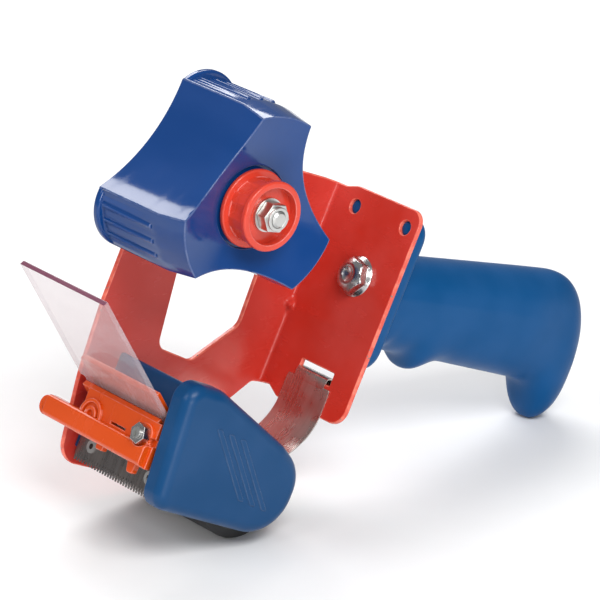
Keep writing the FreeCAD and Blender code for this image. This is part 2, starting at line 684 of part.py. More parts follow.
def make_handle():
    """Moulded grip with its base plate, pegs, and the boss that holds the nut."""
    low, high = flange_mid - 22.3, flange_mid + 21.7
    plate = prism("x", [(low, -45.0, 10), (low, 16.4, 8), (high, 16.4, 8), (high, -45.0, 10)],
                  flange_back, flange_back + grip_base_t)
    rim = [e for e in plate.Edges if abs(e.BoundBox.XMin - flange_back - grip_base_t) < 1e-6]
    plate = plate.makeFillet(3.0, rim)
    body = plate.fuse(grip_solid(flange_back + 1, grip_end, 0.0))
    core_y = flange_mid + 0.2
    half = grip_width / 2 - grip_wall - 2.0
    core_end = grip_end - 22.0
    under_top = grip_wall + 4.0
    hollow = prism("y", [
        (flange_back - 3, -1.9 - under_top, 0),
        (core_end - 4, -1.9 + grip_top_slope * (core_end - 91) - under_top, 7),
        (core_end + 2, -17.0, 7), (core_end - 8, -24.5, 5), (flange_back - 3, -28.5, 0),
    ], core_y - half, core_y + half)
    hollow = hollow.cut([
        rod("x", bolt_y, bolt_z, 9.6, flange_back - 4, flange_back + 24),
        block(flange_back - 4, flange_back + 60, bolt_y - 1.3, bolt_y + 1.3, -60, 40),
        block(flange_back - 4, flange_back + 22, -40, 40, bolt_z - 1.2, bolt_z + 1.2)])
    body = body.cut(hollow)
    body = body.fuse([rod("x", y, peg_z, peg_r, flange_x + 0.9, flange_back + 1) for y in peg_ys()])
    nut_x = flange_back + nut_depth
    cuts = [rod("x", bolt_y, bolt_z, bolt_r + 0.2, flange_back - 1, nut_x + 10),
            hexagon("x", bolt_y, bolt_z, nut_flats + 0.1, nut_x, nut_x + nut_t + 0.1)]
    return body.cut(cuts).removeSplitter()


def make_handle_bolt():
    """Flanged hexagon bolt through the flange into the grip."""
    washer = Part.makeCone(6.0, 8.0, 1.8, Vec(flange_x - 1.8, bolt_y, bolt_z), Vec(1, 0, 0))
    head = hexagon("x", bolt_y, bolt_z, 12.0, flange_x - 5.4, flange_x - 1.0)
    dome = Part.makeSphere(9.4, Vec(flange_x + 3.1, bolt_y, bolt_z))
    head = head.common(dome)
    shank = rod("x", bolt_y, bolt_z, bolt_r, flange_x - 1, flange_back + nut_depth + nut_t + 1.5)
    dimple = Part.makeSphere(4.2, Vec(flange_x - 8.2, bolt_y, bolt_z))
    return head.fuse([washer, shank]).cut(dimple).removeSplitter()


def make_handle_nut():
    """Captive nut in the grip's boss."""
    start = flange_back + nut_depth + 0.05
    nut = hexagon("x", bolt_y, bolt_z, nut_flats, start, start + nut_t)
    return nut.cut(rod("x", bolt_y, bolt_z, bolt_r + still_fit, flange_back, flange_back + 30))


def lowest(points, lean):
    """Lowest height a set of points reaches once leaned back by an angle in degrees."""
    s, c = math.sin(math.radians(lean)), math.cos(math.radians(lean))
    return min(-p.x * s + p.z * c for p in points)


def find_lean(roller, grip):
    """Angle at which the roller and the grip's heel touch the same floor."""
    tyre, heel = roller.tessellate(0.05)[0], grip.tessellate(0.05)[0]
    low, high = 10.0, 45.0
    for _ in range(40):
        lean = (low + high) / 2
        if lowest(heel, lean) > lowest(tyre, lean):
            low = lean
        else:
            high = lean
    return lean


def main():
    """Builds every piece, stands the tool up and writes one file for each node."""
    nodes = {
        "frame": make_frame(), "spindle": make_spindle(), "friction_washer": make_friction_washer(),
        "reel": make_reel(), "pressure_washer": make_pressure_washer(),
        "brake_spring": make_brake_spring(), "thrust_washer": make_thrust_washer(),
        "knob": make_knob(), "knob_washer": make_knob_washer(), "lock_nut": make_lock_nut(),
        "roller_axle": make_roller_axle(), "roller_core": make_roller_core(),
        "roller_sleeve": make_roller_sleeve(), "roller_spacers": make_roller_spacers(),
        "cover": make_cover(), "cover_screws": make_cover_screws(), "blade": make_blade(),
        "blade_rivets": make_blade_rivets(), "guide": make_guide(), "guide_pivot": make_guide_pivot(),
        "guide_spring": make_guide_spring(), "stop_screw": make_stop_screw(),
        "stop_nut": make_stop_nut(), "flap": make_flap(), "leaf_spring": make_leaf(),
        "handle": make_handle(), "handle_bolt": make_handle_bolt(), "handle_nut": make_handle_nut(),
    }
    lean = find_lean(nodes["roller_sleeve"], nodes["handle"])
    for shape in nodes.values():
        shape.rotate(Vec(0, 0, 0), Vec(0, 1, 0), lean)
    cloud = [p for shape in nodes.values() for p in shape.tessellate(0.1)[0]]
    shift = Vec(-(min(p.x for p in cloud) + max(p.x for p in cloud)) / 2,
                -(min(p.y for p in cloud) + max(p.y for p in cloud)) / 2,
                -min(p.z for p in cloud))
    print("lean", round(lean, 4), "shift", round(shift.x, 4), round(shift.y, 4), round(shift.z, 4))
    for name, shape in nodes.items():
        shape.translate(shift)
        shape.exportStep("parts/" + name + ".step")


main()
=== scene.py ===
"""Looks of a hand-held packing tape dispenser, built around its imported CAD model.

Pieces are drawn upright in millimetres: X runs from the cutter to the grip, Y from the cheek to the
side plate, Z along the rear flange, with the reel's axis at the origin. Stance puts them where the
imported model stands.
"""

import logging
import math
from collections.abc import Iterable, Sequence
from dataclasses import dataclass, field
from enum import Enum

import bmesh
import bpy
from mathutils import Matrix, Vector


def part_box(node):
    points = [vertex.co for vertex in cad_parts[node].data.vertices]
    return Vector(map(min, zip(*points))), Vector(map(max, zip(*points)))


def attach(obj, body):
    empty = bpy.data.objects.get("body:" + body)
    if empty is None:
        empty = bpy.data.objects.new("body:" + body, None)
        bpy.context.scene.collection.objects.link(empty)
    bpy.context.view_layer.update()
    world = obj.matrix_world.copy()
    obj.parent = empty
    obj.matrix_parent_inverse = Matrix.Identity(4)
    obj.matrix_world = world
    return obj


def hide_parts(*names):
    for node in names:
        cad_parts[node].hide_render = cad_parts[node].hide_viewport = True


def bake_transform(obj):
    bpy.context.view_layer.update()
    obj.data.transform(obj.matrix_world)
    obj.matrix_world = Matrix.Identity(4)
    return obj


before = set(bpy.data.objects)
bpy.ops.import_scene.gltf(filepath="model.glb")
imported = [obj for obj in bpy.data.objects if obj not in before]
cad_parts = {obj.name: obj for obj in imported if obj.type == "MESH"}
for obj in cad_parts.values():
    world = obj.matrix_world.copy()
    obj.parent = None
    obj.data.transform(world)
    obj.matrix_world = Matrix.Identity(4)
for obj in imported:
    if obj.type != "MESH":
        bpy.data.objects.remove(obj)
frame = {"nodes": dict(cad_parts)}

MM = 0.001
WELD = 2e-6
SHARP = 0.6
Colour = tuple[float, float, float]
Corner = tuple[float, float, float]
log = logging.getLogger("dispenser")


class Slot(Enum):
    """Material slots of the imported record."""

    RED_PAINT = "red_paint"
    ZINC_STEEL = "zinc_steel"
    SPRING_STEEL = "spring_steel"
    BLADE_STEEL = "blade_steel"
    CHROME = "chrome"
    FIBRE = "fibre"
    REEL_PLASTIC = "reel_plastic"
    KNOB_PLASTIC = "knob_plastic"
    ROLLER_PLASTIC = "roller_plastic"
    RUBBER = "rubber"
    COVER_PLASTIC = "cover_plastic"
    GUIDE_PLASTIC = "guide_plastic"
    CLEAR_PLASTIC = "clear_plastic"
    HANDLE_PLASTIC = "handle_plastic"


class Body(Enum):
    """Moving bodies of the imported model."""

    TOOL = "tool"
    REEL = "reel"
    BRAKE_CARRIER = "brake_carrier"
    BRAKE_KNOB = "brake_knob"
    TAPE_GUIDE = "tape_guide"
    LEAF = "leaf"


# ---------------------------------------------------------------- shading


class Signal:
    """A shader socket that arithmetic works on; each operator adds one Math node."""

    def __init__(self, graph: "Graph", socket: bpy.types.NodeSocket) -> None:
        """Keeps the socket and the graph it belongs to."""
        self.graph = graph
        self.socket = socket

    def _math(self, operation: str, first: "Signal | float", second: "Signal | float") -> "Signal":
        """One Math node on two values."""
        return self.graph.node("ShaderNodeMath", {"operation": operation}, {0: first, 1: second})

    def __add__(self, other: "Signal | float") -> "Signal":
        """Sum."""
        return self._math("ADD", self, other)

    def __radd__(self, other: float) -> "Signal":
        """Sum with the number first."""
        return self._math("ADD", other, self)

    def __sub__(self, other: "Signal | float") -> "Signal":
        """Difference."""
        return self._math("SUBTRACT", self, other)

    def __rsub__(self, other: float) -> "Signal":
        """Difference with the number first."""
        return self._math("SUBTRACT", other, self)

    def __mul__(self, other: "Signal | float") -> "Signal":
        """Product."""
        return self._math("MULTIPLY", self, other)

    def __rmul__(self, other: float) -> "Signal":
        """Product with the number first."""
        return self._math("MULTIPLY", other, self)


class Graph:
    """Node tree of one material."""

    def __init__(self, name: str) -> None:
        """Starts an empty material.

        Args:
            name: the material's name.
        """
        self.material = bpy.data.materials.new(name)
        self.material.use_nodes = True
        self.tree = self.material.node_tree
        self.tree.nodes.clear()

    def node(
        self,
        kind: str,
        settings: dict[str, object] | None = None,
        inputs: dict[str | int, object] | None = None,
        output: str | int = 0,
    ) -> Signal:
        """Adds one node.

        Args:
            kind: the node's type.
            settings: its properties, which are set first.
            inputs: a value or a Signal for each socket.
            output: which output to return.

        Returns:
            The chosen output.
        """
        made = self.tree.nodes.new(kind)
        for key, value in (settings or {}).items():
            setattr(made, key, value)
        for key, value in (inputs or {}).items():
            if isinstance(value, Signal):
                self.tree.links.new(value.socket, made.inputs[key])
            else:
                made.inputs[key].default_value = value
        return Signal(self, made.outputs[output] if len(made.outputs) else None)

    def place(self, stretch: Colour = (1.0, 1.0, 1.0)) -> Signal:
        """Position on the piece, stretched along each axis."""
        where = self.node("ShaderNodeTexCoord", output="Object")
        return self.node("ShaderNodeVectorMath", {"operation": "MULTIPLY"}, {0: where, 1: stretch})

    def noise(self, size: float, detail: float = 2.0, stretch: Colour = (1.0, 1.0, 1.0)) -> Signal:
        """Soft noise with lumps of a given size in metres."""
        inputs = {"Vector": self.place(stretch), "Scale": 1.0 / size, "Detail": detail}
        return self.node("ShaderNodeTexNoise", inputs=inputs)

    def grains(self, size: float) -> Signal:
        """Distance to the nearest grain of a given size in metres."""
        return self.node("ShaderNodeTexVoronoi", inputs={"Vector": self.place(), "Scale": 1.0 / size})

    def between(self, value: Signal, low: float, high: float) -> Signal:
        """Rises smoothly from 0 at low to 1 at high."""
        settings = {"interpolation_type": "SMOOTHSTEP", "clamp": True}
        return self.node("ShaderNodeMapRange", settings, {0: value, 1: low, 2: high, 3: 0.0, 4: 1.0})

    def mark(self, name: str) -> Signal:
        """A number stored on the mesh."""
        return self.node("ShaderNodeAttribute", {"attribute_name": name}, output="Fac")

    def tint(self, share: Signal | float, first: Signal | Colour, second: Signal | Colour) -> Signal:
        """Mixes two colours.

        Args:
            share: how much of the second colour shows.
            first: the colour at 0.
            second: the colour at 1.

        Returns:
            The mixed colour.
        """
        sides = [c if isinstance(c, Signal) else (*c, 1.0) for c in (first, second)]
        settings = {"data_type": "RGBA"}
        return self.node("ShaderNodeMix", settings, {0: share, 6: sides[0], 7: sides[1]}, 2)

    def bump(self, height: Signal, depth: float, strength: float = 1.0) -> Signal:
        """Normal from a height, whose full range is depth metres."""
        inputs = {"Strength": strength, "Distance": depth, "Height": height}
        return self.node("ShaderNodeBump", inputs=inputs)

    def finish(self, surface: Signal) -> bpy.types.Material:
        """Joins the surface to the output and returns the material."""
        self.node("ShaderNodeOutputMaterial", inputs={"Surface": surface})
        return self.material


def lighter(colour: Colour, share: float) -> Colour:
    """The colour moved towards white by a share, or towards black by a negative share."""
    goal = 1.0 if share > 0 else 0.0
    return tuple(c + (goal - c) * abs(share) for c in colour)


@dataclass(frozen=True)
class PowderCoat:
    """Gloss powder coat on pressed steel, with a painted highlight lightening it along the edges."""

    slot: Slot
    colour: Colour
    # painted highlight: pale coral that the edges are lightened towards
    painted_highlight_colour: Colour = (0.93, 0.21, 0.14)
    chipped: Colour = (0.25, 0.16, 0.15)
    roughness: float = 0.26
    coat: float = 0.12
    peel: float = 0.0011
    peel_depth: float = 0.000035

    def make(self) -> bpy.types.Material:
        """Builds the material."""
        graph = Graph(self.slot.value)
        cloud = graph.between(graph.noise(0.030, 3.0), 0.3, 0.7)
        colour = graph.tint(cloud, lighter(self.colour, -0.07), lighter(self.colour, 0.025))
        rim = graph.mark("edge")
        # painted highlight: the rolled edges are lightened towards pale coral, in blotches, standing in for
        # the light they catch
        painted_edge_highlight = rim * (0.35 + 0.5 * graph.between(graph.noise(0.004), 0.42, 0.62))
        colour = graph.tint(painted_edge_highlight, colour, self.painted_highlight_colour)
        chip = rim * graph.between(graph.noise(0.0016, 3.0), 0.66, 0.69)
        colour = graph.tint(chip, colour, self.chipped)
        rub = graph.between(graph.noise(0.012, 6.0, (1.0, 1.0, 3.0)), 0.5, 0.8)
        rough = self.roughness + 0.05 * rub + 0.3 * chip
        peel = graph.noise(self.peel, 1.0) + 0.35 * graph.noise(self.peel * 0.35, 1.0)
        return graph.finish(graph.node("ShaderNodeBsdfPrincipled", inputs={
            "Base Color": colour, "Roughness": rough, "Specular IOR Level": 0.35,
            "Coat Weight": self.coat, "Coat Roughness": 0.12,
            "Normal": graph.bump(peel, self.peel_depth, 0.55),
        }))


@dataclass(frozen=True)
class Moulded:
    """Moulded plastic with a spark-eroded grain, faint flow marks and a painted highlight along its edges.
    """

    slot: Slot
    colour: Colour
    roughness: float
    grain: float = 0.0005
    grain_depth: float = 0.00002
    painted_edge_lift: float = 0.10
    # painted highlight: how far the edges are lightened
    coat: float = 0.0
    shine: float = 0.5

    def make(self) -> bpy.types.Material:
        """Builds the material."""
        graph = Graph(self.slot.value)
        flow = graph.between(graph.noise(0.022, 2.0, (1.0, 0.4, 1.0)), 0.3, 0.7)
        colour = graph.tint(flow, lighter(self.colour, -0.08), lighter(self.colour, 0.006))
        rim = graph.mark("edge")
        # painted highlight: the rolled edges are lightened, in blotches, standing in for the light they
        # catch, and made a little glossier
        painted_edge_sheen = rim * (0.5 + 0.5 * graph.between(graph.noise(0.003), 0.4, 0.6))
        colour = graph.tint(painted_edge_sheen, colour, lighter(self.colour, self.painted_edge_lift))
        smear = graph.between(graph.noise(0.010, 5.0, (1.0, 2.5, 1.0)), 0.48, 0.75)
        rough = self.roughness + 0.09 * smear - 0.05 * painted_edge_sheen
        pits = graph.noise(self.grain, 2.0) + 0.5 * graph.grains(self.grain * 1.6)
        return graph.finish(graph.node("ShaderNodeBsdfPrincipled", inputs={
            "Base Color": colour, "Roughness": rough, "IOR": 1.52, "Specular IOR Level": self.shine,
            "Coat Weight": self.coat, "Coat Roughness": 0.08,
            "Normal": graph.bump(pits, self.grain_depth, 0.6),
        }))


@dataclass(frozen=True)
class BareMetal:
    """Bare or plated steel with drawn lines along one direction."""

    slot: Slot
    colour: Colour
    roughness: float
    lines: Colour = (1.0, 1.0, 1.0)
    line_depth: float = 0.000008
    stain: Colour = (0.30, 0.26, 0.22)
    stain_share: float = 0.2
    detail: float = 4.0

    def make(self) -> bpy.types.Material:
        """Builds the material."""
        graph = Graph(self.slot.value)
        streak = graph.noise(0.0022, self.detail, self.lines)
        cloud = graph.between(graph.noise(0.009, 4.0), 0.45, 0.75)
        colour = graph.tint(streak, lighter(self.colour, -0.18), lighter(self.colour, 0.12))
        colour = graph.tint(cloud * self.stain_share, colour, self.stain)
        rough = self.roughness + 0.14 * streak + 0.10 * cloud - 0.06
        return graph.finish(graph.node("ShaderNodeBsdfPrincipled", inputs={
            "Base Color": colour, "Metallic": 1.0, "Roughness": rough,
            "Normal": graph.bump(streak, self.line_depth, 0.5),
        }))


@dataclass(frozen=True)
class Rubber:
    """Ground rubber with fine turning marks and dust."""

    slot: Slot
    colour: Colour
    dusty: Colour = (0.10, 0.095, 0.09)

    def make(self) -> bpy.types.Material:
        """Builds the material."""
        graph = Graph(self.slot.value)
        turned = graph.noise(0.0016, 3.0, (0.25, 3.0, 0.25))
        dust = graph.between(graph.noise(0.006, 5.0), 0.5, 0.8)
        colour = graph.tint(dust * 0.35, self.colour, self.dusty)
        return graph.finish(graph.node("ShaderNodeBsdfPrincipled", inputs={
            "Base Color": colour, "Roughness": 0.55 + 0.25 * dust,
            "Normal": graph.bump(turned, 0.00005, 0.6),
        }))


@dataclass(frozen=True)
class Fibre:
    """Pressed fibre sheet."""

    slot: Slot
    colour: Colour

    def make(self) -> bpy.types.Material:
        """Builds the material."""
        graph = Graph(self.slot.value)
        strands = graph.noise(0.0009, 6.0, (1.0, 0.3, 2.0))
        colour = graph.tint(strands, lighter(self.colour, -0.3), lighter(self.colour, 0.15))
        return graph.finish(graph.node("ShaderNodeBsdfPrincipled", inputs={
            "Base Color": colour, "Roughness": 0.65 + 0.2 * strands,
            "Normal": graph.bump(strands, 0.00004, 0.7),
        }))


@dataclass(frozen=True)
class ClearSheet:
    """Clear plastic sheet: glossy, slightly milky, with painted shade in dark plum along its sawn edges."""

    slot: Slot
    body: Colour = (0.88, 0.80, 0.83)
    # painted shade: dark plum that the sawn edges are coloured
    rim: Colour = (0.16, 0.03, 0.07)
    through: Colour = (0.91, 0.89, 0.89)
    haze: float = 0.10
    glance: float = 0.8
    index: float = 1.49

    def make(self) -> bpy.types.Material:
        """Builds the material."""
        graph = Graph(self.slot.value)
        rim = graph.mark("rim")
        ripple = graph.noise(0.011, 2.0)
        scratch = graph.noise(0.0012, 3.0, (0.15, 1.0, 0.15))
        smudge = graph.between(graph.noise(0.014, 4.0), 0.45, 0.75)
        # painted shade: the marked edges turn dark plum
        colour = graph.tint(rim, self.body, self.rim)
        normal = graph.bump(ripple + 0.02 * scratch, 0.00025, 0.6)
        shiny = graph.node("ShaderNodeBsdfPrincipled", inputs={
            "Base Color": colour, "Roughness": 0.05 + 0.10 * smudge + 0.25 * rim, "IOR": self.index,
            "Coat Weight": 0.6, "Coat Roughness": 0.03, "Normal": normal,
        })
        through = graph.node("ShaderNodeBsdfTransparent", inputs={"Color": (*self.through, 1.0)})
        tilt = {"Blend": 0.5, "Normal": normal}
        facing = graph.node("ShaderNodeLayerWeight", inputs=tilt, output="Facing")
        steep = facing * facing
        cover = self.haze + 0.05 * smudge + self.glance * steep * steep + 0.85 * rim
        cover = graph.between(cover, 0.0, 1.0)
        joined = graph.node("ShaderNodeMixShader", inputs={0: cover, 1: through, 2: shiny})
        return graph.finish(joined)


FINISHES = (
    PowderCoat(Slot.RED_PAINT, (0.62, 0.030, 0.016)),
    Moulded(Slot.REEL_PLASTIC, (0.001, 0.044, 0.200), roughness=0.09, grain=0.0008, grain_depth=0.000006,
            painted_edge_lift=0.08, shine=0.45),
    Moulded(Slot.KNOB_PLASTIC, (0.66, 0.048, 0.022), roughness=0.24, grain=0.0006, grain_depth=0.000015,
            painted_edge_lift=0.12, coat=0.2, shine=0.4),
    Moulded(Slot.COVER_PLASTIC, (0.001, 0.052, 0.160), roughness=0.31, grain=0.00045, painted_edge_lift=0.04,
            shine=0.22),
    Moulded(Slot.GUIDE_PLASTIC, (0.68, 0.072, 0.003), roughness=0.24, grain=0.0006, grain_depth=0.000015,
            coat=0.1, shine=0.4),
    Moulded(Slot.HANDLE_PLASTIC, (0.001, 0.072, 0.225), roughness=0.36, grain=0.0004, grain_depth=0.00003,
            painted_edge_lift=0.04, shine=0.14),
    Moulded(Slot.ROLLER_PLASTIC, (0.045, 0.045, 0.048), roughness=0.45, grain_depth=0.00003, painted_edge_lift=0.05),
    BareMetal(Slot.ZINC_STEEL, (0.66, 0.66, 0.64), roughness=0.30),
    BareMetal(Slot.CHROME, (0.56, 0.55, 0.55), roughness=0.24, stain_share=0.12, detail=2.0),
    BareMetal(Slot.SPRING_STEEL, (0.62, 0.56, 0.52), roughness=0.25, lines=(0.12, 1.6, 0.12),
              line_depth=0.000001, stain_share=0.05, detail=1.0),
    BareMetal(Slot.BLADE_STEEL, (0.22, 0.19, 0.18), roughness=0.26, lines=(0.12, 2.0, 0.12),
              line_depth=0.000002, detail=1.0),
    Rubber(Slot.RUBBER, (0.018, 0.018, 0.019)),
    Fibre(Slot.FIBRE, (0.22, 0.10, 0.05)),
    ClearSheet(Slot.CLEAR_PLASTIC),
)


# ---------------------------------------------------------------- making


@dataclass
class Stance:
    """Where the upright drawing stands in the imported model."""

    roller_x: float = 40.0
    roller_z: float = -98.0

    def matrix(self) -> Matrix:
        """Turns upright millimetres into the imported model's metres.

        Returns:
            The matrix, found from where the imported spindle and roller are.
        """
        hub, wheel = (sum(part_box(n), Vector()) / 2 for n in ("spindle", "roller_sleeve"))
        drawn = math.atan2(self.roller_z, self.roller_x)
        found = math.atan2(wheel.z - hub.z, wheel.x - hub.x)
        move = Matrix.Translation((hub.x, wheel.y, hub.z))
        return move @ Matrix.Rotation(drawn - found, 4, "Y") @ Matrix.Scale(MM, 4)


class Workshop:
    """Makes meshes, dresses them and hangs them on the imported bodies."""

    def __init__(self) -> None:
        """Builds the finishes and finds where the tool stands."""
        self.finishes = {finish.slot: finish.make() for finish in FINISHES}
        self.stand = Stance().matrix()
        self.nodes: dict[str, bpy.types.Object] = frame["nodes"]
        self.made: list[str] = []

    def place(self, x: float, y: float, z: float) -> Vector:
        """A point of the upright drawing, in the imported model's metres."""
        return self.stand @ Vector((x, y, z))

    def add(self, name: str, grid: bmesh.types.BMesh, slot: Slot, sharp: float = 38.0) -> bpy.types.Object:
        """Turns a bmesh into a dressed object with clean shading.

        Args:
            name: the object's name.
            grid: its mesh, which is freed.
            slot: the finish it wears.
            sharp: edges that bend more than this many degrees stay crisp.

        Returns:
            The new object.
        """
        mesh = bpy.data.meshes.new(name)
        bmesh.ops.recalc_face_normals(grid, faces=grid.faces)
        grid.to_mesh(mesh)
        grid.free()
        mesh.polygons.foreach_set("use_smooth", [True] * len(mesh.polygons))
        mesh.set_sharp_from_angle(angle=math.radians(sharp))
        obj = bpy.data.objects.new(name, mesh)
        bpy.context.scene.collection.objects.link(obj)
        obj.data.materials.append(self.finishes[slot])
        even = obj.modifiers.new("even", "WEIGHTED_NORMAL")
        even.keep_sharp = True
        return obj

    def stand_for(self, obj: bpy.types.Object, body: Body | None, *nodes: str) -> bpy.types.Object:
        """Hangs a piece on a body in place of its CAD nodes.

        Args:
            obj: the piece.
            body: the body it rides on, or None to hang it on no body.
            nodes: the CAD nodes it stands for.

        Returns:
            The piece.
        """
        if body is not None:
            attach(obj, body.value)
        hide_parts(*nodes)
        self.made.append(obj.name)
        log.info("%s: %d faces, stands for %s", obj.name, len(obj.data.polygons), ", ".join(nodes))
        return obj

    def wear(self, node: str, slot: Slot) -> None:
        """Gives a CAD node that stays its finish.

        Args:
            node: the CAD node.
            slot: the finish it wears.
        """
        obj = self.nodes[node]
        for place in obj.material_slots:
            place.material = self.finishes[slot]
        log.info("%s wears %s", node, slot.value)

    def eased(self, node: str, name: str, slot: Slot, width: float, steps: int = 2) -> bpy.types.Object:
        """Copies a CAD node with its sharp outer edges rolled over.

        Args:
            node: the CAD node.
            name: the new object's name.
            slot: the finish it wears.
            width: how far each edge is rolled over, in millimetres.
            steps: how many facets the roll has.

        Returns:
            The new object, whose rolled faces are marked as edge.
        """
        grid = bmesh.new()
        grid.from_mesh(self.nodes[node].data)
        bmesh.ops.remove_doubles(grid, verts=grid.verts, dist=WELD)
        bmesh.ops.dissolve_limit(grid, angle_limit=math.radians(0.1), verts=grid.verts, edges=grid.edges)
        band = grid.loops.layers.float.new("edge")
        sharp = [e for e in grid.edges if e.is_convex and e.calc_face_angle(0.0) > SHARP]
        rolled = bmesh.ops.bevel(grid, geom=sharp, offset=width * MM, segments=steps, profile=0.5,
                                 affect="EDGES", clamp_overlap=False, offset_type="OFFSET")
        for face in rolled["faces"]:
            for loop in face.loops:
                loop[band] = 1.0
        return self.add(name, grid, slot)


def rounded(corners: Sequence[Corner], step: float = 9.0) -> list[tuple[float, float]]:
    """Closed outline through (u, v, radius) corners, each rounded by its own radius.

    Args:
        corners: the corners in order.
        step: degrees between points on an arc.

    Returns:
        Points along the outline.
    """
    points: list[tuple[float, float]] = []
    for i, (u, v, r) in enumerate(corners):
        here = Vector((u, v))
        before = (Vector(corners[i - 1][:2]) - here).normalized()
        after = (Vector(corners[(i + 1) % len(corners)][:2]) - here).normalized()
        half = before.angle(after) / 2
        middle = (before + after)
        if r <= 0 or middle.length < 1e-6:
            points.append((u, v))
            continue
        centre = here + middle.normalized() * (r / math.sin(half))
        first = here + before * (r / math.tan(half)) - centre
        last = here + after * (r / math.tan(half)) - centre
        turn = math.atan2(first.x * last.y - first.y * last.x, first.dot(last))
        count = max(2, int(abs(math.degrees(turn)) / step) + 1)
        for k in range(count + 1):
            a = turn * k / count
            c, s = math.cos(a), math.sin(a)
            points.append((centre.x + first.x * c - first.y * s, centre.y + first.x * s + first.y * c))
    return points


def circle(u: float, v: float, r: float, count: int = 40) -> list[tuple[float, float]]:
    """Points round a circle."""
    turns = [2 * math.pi * k / count for k in range(count)]
    return [(u + r * math.cos(a), v + r * math.sin(a)) for a in turns]


def sheet_of(outlines: Iterable[Sequence[tuple[float, float]]], thick: float,
             roll: float) -> bmesh.types.BMesh:
    """A flat plate with rolled edges, cut out by its outline and holes.

    Args:
        outlines: the outer outline, then the holes.
        thick: the plate's thickness.
        roll: how far its edges are rolled over.

    Returns:
        The plate, in the XY plane and centred on Z, with its rolled faces marked as edge.
    """
    curve = bpy.data.curves.new("outline", "CURVE")
    curve.dimensions = "2D"
    curve.fill_mode = "BOTH"
    curve.extrude = thick / 2 - roll
    curve.bevel_depth = roll
    curve.bevel_resolution = 2
    curve.offset = -roll
    for outline in outlines:
        spline = curve.splines.new("POLY")
        spline.points.add(len(outline) - 1)
        for point, (u, v) in zip(spline.points, outline):
            point.co = (u, v, 0.0, 1.0)
        spline.use_cyclic_u = True
    holder = bpy.data.objects.new("outline", curve)
    bpy.context.scene.collection.objects.link(holder)
    mesh = bpy.data.meshes.new_from_object(holder.evaluated_get(bpy.context.evaluated_depsgraph_get()))
    grid = bmesh.new()
    grid.from_mesh(mesh)
    bpy.data.objects.remove(holder)
    bpy.data.curves.remove(curve)
    bpy.data.meshes.remove(mesh)
    bmesh.ops.remove_doubles(grid, verts=grid.verts, dist=1e-4)
    band = grid.loops.layers.float.new("edge")
    for face in grid.faces:
        face.normal_update()
        if abs(face.normal.z) < 0.98:
            for loop in face.loops:
                loop[band] = 1.0
    return grid


def baked(obj: bpy.types.Object) -> bmesh.types.BMesh:
    """Takes an object's mesh with its modifiers applied, and removes the object.

    Args:
        obj: the object.

    Returns:
        Its finished mesh.
    """
    solid = obj.evaluated_get(bpy.context.evaluated_depsgraph_get())
    grid = bmesh.new()
    grid.from_mesh(solid.to_mesh())
    solid.to_mesh_clear()
    bpy.data.objects.remove(obj)
    return grid


def round_wire(line: Sequence[Vector], r: float, sides: int = 10) -> bmesh.types.BMesh:
    """A round wire along a line.

    Args:
        line: the points along its middle.
        r: its radius.
        sides: how many facets go round it.

    Returns:
        The wire's closed mesh.
    """
    grid = bmesh.new()
    turns = [2 * math.pi * k / sides for k in range(sides)]
    side = (line[1] - line[0]).orthogonal()
    rings = []
    for i, point in enumerate(line):
        along = (line[min(i + 1, len(line) - 1)] - line[max(i - 1, 0)]).normalized()
        side = (side - along * side.dot(along)).normalized()
        up = along.cross(side)
        rings.append([grid.verts.new(point + (side * math.cos(t) + up * math.sin(t)) * r) for t in turns])
    for first, second in zip(rings, rings[1:]):
        for k in range(sides):
            grid.faces.new((first[k], first[(k + 1) % sides], second[(k + 1) % sides], second[k]))
    grid.faces.new(rings[0][::-1])
    grid.faces.new(rings[-1])
    return grid


@dataclass(frozen=True)
class Coil:
    """Centre line of a coil about a line along Y."""

    x: float
    z: float
    r: float
    low: float
    high: float
    turns: float

    def points(self, per_turn: int = 28) -> list[Vector]:
        """Works out the coil's line.

        Args:
            per_turn: how many points each turn has.

        Returns:
            Points along the coil, from its low end.
        """
        count = int(self.turns * per_turn)
        spread = []
        for k in range(count + 1):
            a = 2 * math.pi * self.turns * k / count
            y = self.low + (self.high - self.low) * k / count
            spread.append(Vector((self.x + self.r * math.cos(a), y, self.z + self.r * math.sin(a))))
        return spread


